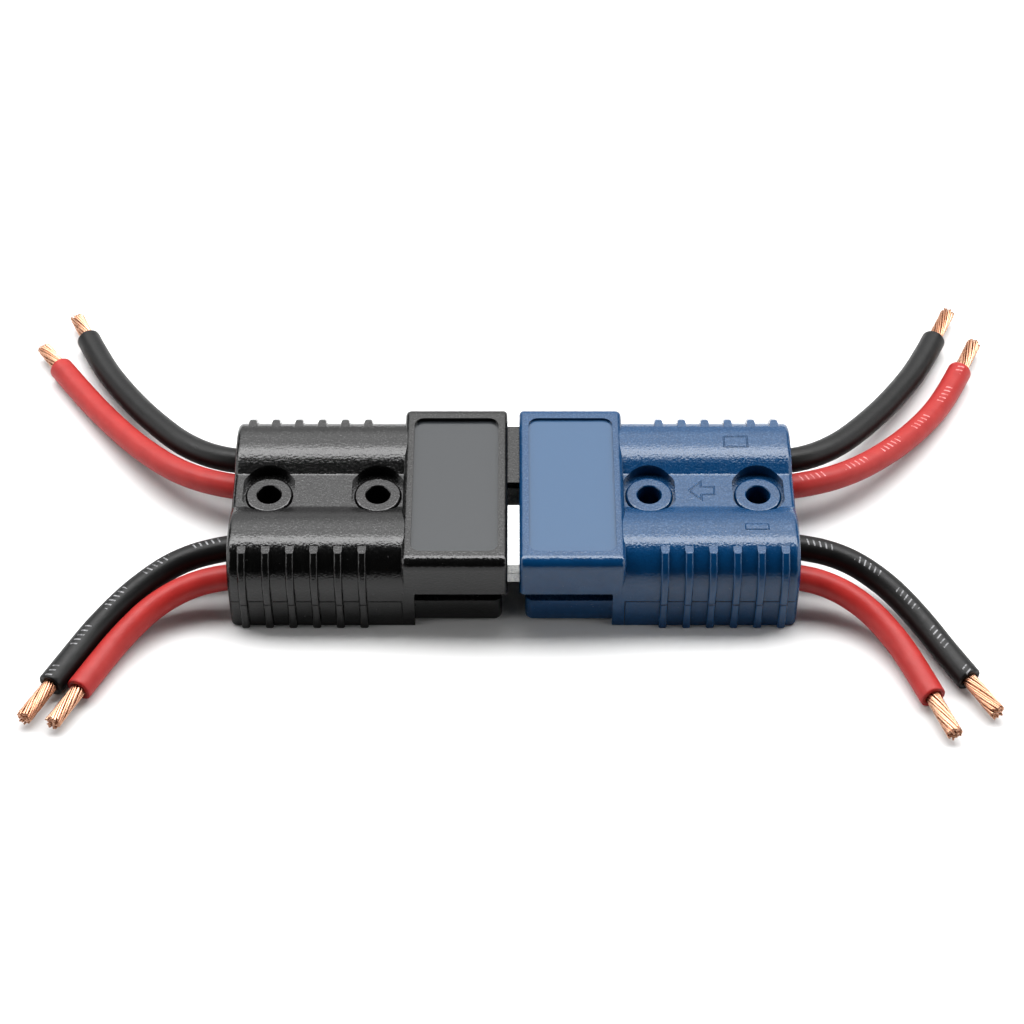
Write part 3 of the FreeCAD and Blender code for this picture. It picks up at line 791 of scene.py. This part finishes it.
@dataclass
class Lead:
    """One insulated lead with its stripped end, along the route of its node's tube.

    The cut's profile gives how far back from the cut each ring lies, and how far it is sunk
    under the full radius. Each ring of strands gives their number, and their distance from the
    middle before they flare.
    """

    name: str
    colour: Colour
    skin: Skin
    route_mm: list[Triple]
    bare_mm: float
    finish: SiliconeSkin
    copper: StrandedCopper
    seed: int
    diameter_mm: float = 4.4
    line_steps: int = 16
    frame_steps: int = 120
    body_rings: int = 90
    around: int = 48
    body_end_mm: float = 0.3
    cut_profile_mm: tuple[Pair, ...] = ((0.12, 0.03), (0.03, 0.1), (0.0, 0.22))
    bore_mm: float = 0.6
    bore_play_mm: float = 0.05
    edge_mm: float = 0.2
    ragged_mm: float = 0.07
    bundle_mm: float = 2.6
    strand_mm: float = 0.37
    lay_mm: float = 27.0
    rings_mm: tuple[tuple[int, float], ...] = ((1, 0.0), (6, 0.37), (12, 0.73), (18, 1.09))
    strand_steps: int = 22
    strand_sides: int = 8
    strand_turn: float = 0.07
    tucked_mm: float = 0.7
    uneven_mm: float = 0.7
    flare: float = 0.10
    flare_share: Pair = (0.2, 1.0)
    tone: Pair = (0.25, 1.0)

    def centreline(self) -> np.ndarray:
        """Smooth line whose control points are the route.

        Returns:
            Its points in order, in metres.
        """
        curve = bpy.data.curves.new(f"{self.name}_line", "CURVE")
        curve.dimensions = "3D"
        spline = curve.splines.new("NURBS")
        spline.points.add(len(self.route_mm) - 1)
        for point, spot in zip(spline.points, self.route_mm):
            point.co = (*(c * MM for c in spot), 1.0)
        spline.order_u = 3
        spline.use_endpoint_u = True
        spline.resolution_u = self.line_steps
        holder = bpy.data.objects.new(f"{self.name}_line", curve)
        path = line_of(holder)
        bpy.data.objects.remove(holder)
        bpy.data.curves.remove(curve)
        return path

    def jacket(self, path: np.ndarray) -> bpy.types.Object:
        """Insulation: a round section carried along the line, rounded and bored at its end.

        The section's radius is constant, falls over the last 0.3 mm to round the cut edge, then
        steps in to the conductor's radius and back inside, which leaves the wall in view. A
        point is the line's point plus the radius times the side turned towards the lift.

        Args:
            path: Centreline from the crimp to the stripped end.

        Returns:
            The jacket's mesh object.
        """
        length = length_of(path)
        radius, core = self.diameter_mm / 2 * MM, (self.bundle_mm / 2 + self.bore_play_mm) * MM
        body = np.linspace(0.0, length - self.body_end_mm * MM, self.body_rings)
        back, sunk = np.array(self.cut_profile_mm).T * MM
        inside = length - self.bore_mm * MM
        stations = np.concatenate([[0.0], body, length - back, [length, inside, inside]])
        radii = np.concatenate([[0.0], np.full(len(body), radius), radius - sunk,
                                [core, core, 0.0]])
        even = np.linspace(0.0, length, self.frame_steps)
        tangent, side, lift = frames_along(resample(path, even))
        side, lift = read_along(stations, even, side), read_along(stations, even, lift)
        angle = np.linspace(0.0, 2 * math.pi, self.around, endpoint=False)
        ring = (np.cos(angle)[None, :, None] * side[:, None] +
                np.sin(angle)[None, :, None] * lift[:, None])
        points = resample(path, stations)[:, None] + radii[:, None, None] * ring
        at_cut = (stations > length - self.edge_mm * MM).astype(float)
        points += at_cut[:, None, None] * self.cut_wave(angle)[None, :, None] * tangent[-1]
        piece = add_mesh(f"{self.name}_jacket", points,
                         grid_faces(len(stations), self.around)[:, ::-1])
        self.unwrap(piece, stations, angle, radius)
        self.close(piece)
        return piece

    def cut_wave(self, angle: np.ndarray) -> np.ndarray:
        """Uneven knife cut of the jacket.

        Three sines of two, three and seven waves round the edge, each weaker than the last and
        turned by a random phase.

        Args:
            angle: Angles round the lead.

        Returns:
            How far the edge stands out at each angle, in metres.
        """
        rng = np.random.default_rng(self.seed + 50)
        waves, weights = np.array([2, 3, 7]), np.array([0.6, 0.4, 0.25])
        phase = rng.uniform(0.0, 2 * math.pi, len(waves))
        wave = (np.sin(angle[:, None] * waves + phase) * weights).sum(axis=1)
        return wave * self.ragged_mm * MM

    def unwrap(self, piece: bpy.types.Object, stations: np.ndarray, angle: np.ndarray,
               radius: float) -> None:
        """UV map in metres: length along the lead, and angle round it times its radius.

        A corner at angle 0 in a quad that closes the round reads a full turn instead.

        Args:
            piece: The jacket, with its corners in rows along the lead.
            stations: Length along the lead of each row.
            angle: Angle of each corner of a row.
            radius: Radius of the lead.
        """
        mesh = piece.data
        corners = np.empty(len(mesh.loops), dtype=np.int32)
        mesh.loops.foreach_get("vertex_index", corners)
        row, column = corners // self.around, corners % self.around
        quads = column.reshape(-1, 4)
        wrapped = (quads.max(axis=1, keepdims=True) - quads > 1) & (quads == 0)
        turn = np.where(wrapped, 2 * math.pi, angle[quads]).ravel()
        layer = mesh.uv_layers.new(name=SKIN_MAP)
        layer.data.foreach_set("uv", np.stack([stations[row], turn * radius], axis=1).ravel())

    @staticmethod
    def close(piece: bpy.types.Object) -> None:
        """Merge the rings that shrink to a point."""
        weld = piece.modifiers.new("Weld", "WELD")
        weld.merge_threshold = 1e-7

    def helices(self, rng: np.random.Generator, start: np.ndarray, heading: np.ndarray,
                side: np.ndarray, lift: np.ndarray) -> np.ndarray:
        """Centres of the strands.

        A strand's centre is the lead's end plus its ring's radius turned by one turn per lay
        length. The ring spreads a little towards the cut, and the strands end unevenly.

        Args:
            rng: Source of the random numbers.
            start: The lead's end.
            heading: Direction of the lead there.
            side: Level direction across it.
            lift: Direction at right angles to both.

        Returns:
            Points by strand and by step along it.
        """
        count = sum(number for number, _ in self.rings_mm)
        ring = np.concatenate([np.full(number, reach) for number, reach in self.rings_mm]) * MM
        phase = np.concatenate([np.linspace(0, 2 * math.pi, number, endpoint=False)
                                for number, _ in self.rings_mm])
        phase = phase + rng.normal(0.0, self.strand_turn, count)
        cut = (self.bare_mm - rng.uniform(0.0, self.uneven_mm, count)) * MM
        tucked = self.tucked_mm * MM
        t = np.linspace(0.0, 1.0, self.strand_steps)
        reach = -tucked + t[None, :] * (cut[:, None] + tucked)
        flare = self.flare * np.clip(reach / (self.bare_mm * MM), 0, 1) ** 2
        spread = ring[:, None] * (1.0 + flare * rng.uniform(*self.flare_share, count)[:, None])
        swing = phase[:, None] + 2 * math.pi * reach / (self.lay_mm * MM)
        return (start + reach[..., None] * heading + (spread * np.cos(swing))[..., None] * side
                + (spread * np.sin(swing))[..., None] * lift)

    def strands(self, path: np.ndarray) -> bpy.types.Object:
        """Bare end: strands laid in rings round the middle one, each a helix.

        A strand's section is one circle, carried along its centre and shrunk to a point at both
        ends.

        Args:
            path: Centreline of the lead.

        Returns:
            One mesh object with all the strands of this end.
        """
        rng = np.random.default_rng(self.seed)
        heading = unit(path[-1] - path[-2])
        side = unit(np.cross(heading, [0.0, 0.0, 1.0]))
        lift = np.cross(side, heading)
        centre = self.helices(rng, path[-1], heading, side, lift)
        centre = np.concatenate([centre[:, :1], centre, centre[:, -1:]], axis=1)
        count, stations = centre.shape[:2]
        angle = np.linspace(0, 2 * math.pi, self.strand_sides, endpoint=False)
        circle = ((np.cos(angle)[:, None] * side + np.sin(angle)[:, None] * lift)
                  * (self.strand_mm / 2 * MM))
        width = np.ones(stations)
        width[[0, -1]] = 0.0
        points = centre[:, :, None] + width[None, :, None, None] * circle[None, None]
        corners = stations * self.strand_sides
        one = grid_faces(stations, self.strand_sides)[:, ::-1]
        faces = (one[None] + (np.arange(count) * corners)[:, None, None]).reshape(-1, 4)
        piece = add_mesh(f"{self.name}_bare_end", points, faces)
        tone = np.repeat(rng.uniform(*self.tone, count), corners)
        piece.data.attributes.new(TONE_MAP, "FLOAT", "POINT").data.foreach_set("value", tone)
        self.close(piece)
        return piece

    def build(self) -> list[bpy.types.Object]:
        """Make the jacket and the bare end, and tie them to the frame.

        Returns:
            The pieces made.
        """
        path = self.centreline()
        jacket, bare = self.jacket(path), self.strands(path)
        jacket.data.materials.append(self.finish.material())
        bare.data.materials.append(self.copper.material())
        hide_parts(f"{self.name}_wire")
        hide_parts(f"{self.name}_strands")
        for piece in (jacket, bare):
            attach(piece, self.colour.body)
        return [jacket, bare]


# Mouldings and metalwork

@dataclass
class DressedNodes:
    """Nodes of the frame whose shape stays and which take a finish."""

    nodes: list[str]
    finish: MouldedPlastic | PlatedMetal | StrandedCopper

    def build(self) -> list[bpy.types.Object]:
        """Give each node the finish's material.

        Returns:
            The nodes' objects.
        """
        material = self.finish.material()
        dressed = []
        for name in self.nodes:
            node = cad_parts[name]
            node.data.materials.clear()
            node.data.materials.append(material)
            dressed.append(node)
        return dressed


@dataclass
class ShoulderBands:
    """Closed bands that lie on the round shoulder between a barrel's last ribs.

    The frame's triangles cut straight across the round there, on the near side of the black
    half and on the far side of the blue one. Each band has the shoulder's true radius.
    """

    colour: Colour
    finish: MouldedPlastic
    half_width_mm: float = 18.25
    crest_mm: float = 15.85
    corner_mm: float = 6.6
    first_gap_mm: float = 38.06
    gap_mm: float = 2.62
    rib_pitch_mm: float = 4.02
    gaps: int = 2
    proud_mm: float = 0.008
    thick_mm: float = 0.9
    steps: int = 32
    sharp_degrees: float = 30.0

    def band(self, start: float) -> tuple[np.ndarray, np.ndarray]:
        """Corners and faces of one band.

        Its section is a quarter ring about the shoulder's centre, from level to upright, carried
        along X over the gap. The black half's bands are the blue one's turned half round Z.

        Args:
            start: Distance of the gap's inner edge from the mating faces, in millimetres.

        Returns:
            Corner positions in metres, and one row of four corner numbers for each face.
        """
        turn = np.linspace(0.0, math.pi / 2, self.steps)
        arc = np.stack([np.cos(turn), np.sin(turn)], axis=1)
        ring = np.concatenate([(self.corner_mm + self.proud_mm) * arc,
                               (self.corner_mm - self.thick_mm) * arc[::-1]])
        ring += (self.half_width_mm - self.corner_mm, self.crest_mm - self.corner_mm)
        side = self.colour.outward
        ends = [np.column_stack([np.full(len(ring), side * x), side * ring[:, 0], ring[:, 1]])
                for x in (start, start + self.gap_mm)]
        walls = grid_faces(2, len(ring))
        inner = np.arange(self.steps - 1)
        cap = np.stack([inner, inner + 1, len(ring) - 2 - inner, len(ring) - 1 - inner], axis=1)
        faces = np.concatenate([walls, cap[:, ::-1], cap + len(ring)])
        return np.concatenate(ends) * MM, faces

    def build(self) -> list[bpy.types.Object]:
        """Make the bands of this half as one piece.

        Returns:
            The piece, alone in its list.
        """
        points, faces = [], []
        for number in range(self.gaps):
            corners, quads = self.band(self.first_gap_mm + number * self.rib_pitch_mm)
            faces.append(quads + sum(len(p) for p in points))
            points.append(corners)
        piece = add_mesh(f"{self.colour.value}_shoulder_bands", np.concatenate(points),
                         np.concatenate(faces))
        split = piece.modifiers.new("Sharp ends", "EDGE_SPLIT")
        split.split_angle = math.radians(self.sharp_degrees)
        piece.data.materials.append(self.finish.material())
        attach(piece, self.colour.body)
        return [piece]


# Floor, light and camera

@dataclass(frozen=True)
class Softbox:
    """A rectangular soft light with an even glow.

    Its size is its length along X and its depth. Its turns are about X and Y, in degrees, from
    facing straight down.
    """

    name: str
    spot: Triple
    size: Pair
    glow: float
    turn: Pair = (0.0, 0.0)

    def hang(self) -> None:
        """Add the light to the scene.

        Its power is the glow times its area times pi, so its brightness stays when it is resized.
        """
        light = bpy.data.lights.new(self.name, "AREA")
        light.shape = "RECTANGLE"
        light.size, light.size_y = self.size
        light.energy = self.glow * self.size[0] * self.size[1] * math.pi
        holder = bpy.data.objects.new(self.name, light)
        holder.location = self.spot
        holder.rotation_euler = (math.radians(self.turn[0]), math.radians(self.turn[1]), 0.0)
        bpy.context.scene.collection.objects.link(holder)


@dataclass
class Studio:
    """Pale floor, soft light and the camera at the photograph's angle."""

    elevation: float = 47.355
    distance_mm: float = 449.8
    focal_px: float = 2604.6
    look_mm: Triple = (-0.253, 0.635, 8.0)
    floor_half: float = 1.6
    floor_drop: float = 0.00002
    fading_heights: Pair = (0.0, 0.14)
    fading_glow: Pair = (1.0, 0.02)
    softboxes: tuple[Softbox, ...] = (
        Softbox("overhead", (0.0, 0.545, 0.80), (1.8, 0.87), 2.7),
        Softbox("overhead_near", (0.0, 0.305, 0.79), (1.8, 0.39), 5.3),
        Softbox("overhead_far", (0.0, 1.22, 0.80), (1.8, 0.47), 1.8),
        Softbox("back", (0.0, 1.46, 0.50), (2.4, 0.60), 1.0, turn=(-90.0, 0.0)),
        Softbox("left", (-1.15, -0.15, 0.50), (0.75, 1.3), 2.2, turn=(0.0, -68.0)),
        Softbox("right", (1.15, -0.15, 0.50), (0.75, 1.3), 2.2, turn=(0.0, 68.0)),
    )

    def floor(self) -> None:
        """Square floor a hair under the object."""
        half, depth = self.floor_half, -self.floor_drop
        corners = np.array([[-half, -half, depth], [half, -half, depth],
                            [half, half, depth], [-half, half, depth]])
        piece = add_mesh("floor", corners, np.array([[0, 1, 2, 3]]), smooth=False)
        piece.data.materials.append(PaperFloor().material())

    def surroundings(self) -> bpy.types.World:
        """Room round the table: pale at the horizon, dark higher up.

        The glow depends on the height of the direction alone and falls evenly between two
        heights.

        Returns:
            The new world.
        """
        world = bpy.data.worlds.new("studio")
        world.use_nodes = True
        tree = world.node_tree
        split = tree.nodes.new("ShaderNodeSeparateXYZ")
        tree.links.new(tree.nodes.new("ShaderNodeTexCoord").outputs["Generated"], split.inputs[0])
        fall = map_range(tree, split.outputs[2], self.fading_heights, self.fading_glow)
        background = tree.nodes["Background"]
        tree.links.new(fall, background.inputs["Strength"])
        background.inputs["Color"].default_value = (1.0, 1.0, 1.0, 1.0)
        return world

    def camera(self) -> None:
        """Camera on the photograph's line of sight, with its framing."""
        lens = bpy.data.cameras.new("camera")
        lens.sensor_width = SENSOR_MM
        lens.sensor_fit = "HORIZONTAL"
        lens.lens = self.focal_px / PHOTO_PX * SENSOR_MM
        lens.clip_start = 0.01
        tilt = math.radians(self.elevation)
        reach = self.distance_mm * MM
        holder = bpy.data.objects.new("camera", lens)
        look = [c * MM for c in self.look_mm]
        holder.location = (look[0], look[1] - reach * math.cos(tilt),
                           look[2] + reach * math.sin(tilt))
        holder.rotation_euler = (math.pi / 2 - tilt, 0.0, 0.0)
        bpy.context.scene.collection.objects.link(holder)
        bpy.context.scene.camera = holder

    def build(self) -> None:
        """Set the floor, the lights, the surroundings and the camera."""
        self.floor()
        for softbox in self.softboxes:
            softbox.hang()
        bpy.context.scene.world = self.surroundings()
        bpy.context.scene.view_settings.view_transform = "Standard"
        bpy.context.scene.view_settings.look = "Medium High Contrast"
        self.camera()


# The finishes of this pair

BLUE_MARKS = (Mark(MarkShape.ARROW, (32.1, 0.0), (2.15, 2.1)),
              Mark(MarkShape.FRAME, (38.4, 10.0), (2.0, 1.2)),
              Mark(MarkShape.BAR, (40.9, -9.9), (1.95, 0.6)))
# The speckle colours below are painted glint on up-facing grain.
BLACK_PLASTIC = MouldedPlastic("black moulded plastic", (0.0030, 0.0030, 0.0030),
                               (0.0050, 0.0050, 0.0050), speckle=(0.024, 0.024, 0.024),
                               # The panel colour is a painted sheen of the smooth panel floor.
                               panel=(0.024, 0.027, 0.030), panel_floor=0.0153)
BLUE_PLASTIC = MouldedPlastic("blue moulded plastic", (0.0018, 0.032, 0.088),
                              (0.0028, 0.040, 0.106), speckle=(0.022, 0.066, 0.145),
                              # The panel colour is a painted sheen of the smooth panel floor.
                              panel=(0.024, 0.068, 0.140), panel_floor=0.01555,
                              marks=BLUE_MARKS)
PLASTICS = {Colour.BLACK: BLACK_PLASTIC, Colour.BLUE: BLUE_PLASTIC}
BLACK_TONES = ((0.005, 0.005, 0.005), (0.008, 0.008, 0.008))
RED_TONES = ((0.28, 0.020, 0.018), (0.33, 0.027, 0.024))
BLACK_SKIN = SiliconeSkin("black silicone", *BLACK_TONES)
BLACK_PRINTED = SiliconeSkin("black silicone printed", *BLACK_TONES, printed=True)
RED_SKIN = SiliconeSkin("red silicone", *RED_TONES)
RED_PRINTED = SiliconeSkin("red silicone printed", *RED_TONES, printed=True,
                           ink=(0.62, 0.25, 0.25))
COPPER = StrandedCopper()
SILVER = PlatedMetal("silver plating", (0.62, 0.62, 0.60), (0.36, 0.37, 0.38))
SPRING = PlatedMetal("spring steel", (0.62, 0.62, 0.62), (0.45, 0.45, 0.46), roughness=0.28)

# Each lead's name, half, skin, bare length in millimetres and finish, then its route in
# millimetres from the crimp to the stripped end
LEADS: list[tuple[str, Colour, Skin, float, SiliconeSkin, list[Triple]]] = [
    ("black_far_outer", Colour.BLACK, Skin.BLACK, 6.6, BLACK_SKIN, [
        (-31.0, 13.2, 7.6), (-39.4, 13.2, 7.6), (-48.9, 13.1, 7.3), (-57.5, 17.8, 5.8),
        (-65.2, 26.4, 4.3), (-71.5, 35.2, 3.0), (-76.2, 42.9, 2.4), (-79.5, 49.9, 2.3)]),
    ("black_far_inner", Colour.BLACK, Skin.RED, 6.6, RED_SKIN, [
        (-31.0, 6.6, 7.6), (-39.3, 6.6, 7.6), (-48.4, 7.0, 7.2), (-58.4, 11.6, 5.8),
        (-66.9, 19.7, 4.3), (-73.8, 28.3, 3.0), (-79.3, 35.8, 2.4), (-83.8, 42.2, 2.3)]),
    ("black_near_inner", Colour.BLACK, Skin.BLACK, 8.1, BLACK_PRINTED, [
        (-31.0, -6.6, 7.6), (-38.9, -6.6, 7.6), (-47.5, -6.5, 7.2), (-57.0, -8.3, 5.8),
        (-64.4, -14.0, 4.3), (-70.0, -20.9, 3.0), (-73.7, -27.4, 2.4), (-76.7, -33.1, 2.3)]),
    ("black_near_outer", Colour.BLACK, Skin.RED, 8.1, RED_SKIN, [
        (-31.0, -13.2, 7.6), (-38.4, -13.2, 7.6), (-46.0, -13.1, 7.2), (-53.9, -13.6, 5.8),
        (-60.6, -17.1, 4.3), (-65.6, -22.9, 3.0), (-69.1, -28.7, 2.4), (-71.9, -34.1, 2.3)]),
    ("blue_far_outer", Colour.BLUE, Skin.BLACK, 8.4, BLACK_SKIN, [
        (31.0, 13.2, 7.6), (39.4, 13.2, 7.6), (48.7, 13.1, 7.3), (57.0, 18.0, 5.8),
        (64.8, 26.8, 4.3), (71.0, 35.6, 3.0), (75.5, 43.1, 2.4), (78.6, 49.7, 2.3)]),
    ("blue_far_inner", Colour.BLUE, Skin.RED, 8.4, RED_PRINTED, [
        (31.0, 6.6, 7.6), (39.3, 6.6, 7.6), (48.2, 7.1, 7.2), (58.3, 11.3, 5.8),
        (67.2, 18.6, 4.3), (74.2, 26.7, 3.0), (79.2, 34.3, 2.4), (82.5, 41.3, 2.3)]),
    ("blue_near_inner", Colour.BLUE, Skin.BLACK, 8.25, BLACK_PRINTED, [
        (31.0, -6.6, 7.6), (38.8, -6.6, 7.6), (47.2, -6.3, 7.2), (56.3, -7.5, 5.8),
        (63.4, -12.5, 4.3), (68.6, -19.3, 3.0), (72.3, -26.1, 2.4), (75.6, -31.9, 2.3)]),
    ("blue_near_outer", Colour.BLUE, Skin.RED, 8.25, RED_SKIN, [
        (31.0, -13.2, 7.6), (38.4, -13.2, 7.6), (45.8, -13.1, 7.2), (53.2, -13.7, 5.8),
        (59.5, -17.5, 4.3), (64.2, -23.7, 3.0), (67.1, -30.0, 2.4), (69.2, -35.7, 2.3)]),
]


def main() -> None:
    """Build the scene piece by piece."""
    logging.basicConfig(level=logging.INFO, format="%(name)s: %(message)s")
    Studio().build()
    ends = ("far", "near")
    groups: list[DressedNodes | ShoulderBands | Lead] = [
        DressedNodes([f"{c.value}_housing"], PLASTICS[c]) for c in Colour]
    groups += [
        DressedNodes([f"{c.value}_contact_{end}" for c in Colour for end in ends], SILVER),
        DressedNodes([f"{c.value}_spring_{end}" for c in Colour for end in ends], SPRING),
        DressedNodes([f"{name}_core" for name, *_ in LEADS], COPPER),
    ]
    groups += [ShoulderBands(c, PLASTICS[c]) for c in Colour]
    for seed, (name, colour, skin, bare, finish, points) in enumerate(LEADS, start=1):
        groups.append(Lead(name, colour, skin, points, bare, finish, COPPER, seed))
    for group in groups:
        for piece in group.build():
            LOG.info("%s, %d faces", piece.name, len(piece.data.polygons))


if __name__ == "__main__":
    main()
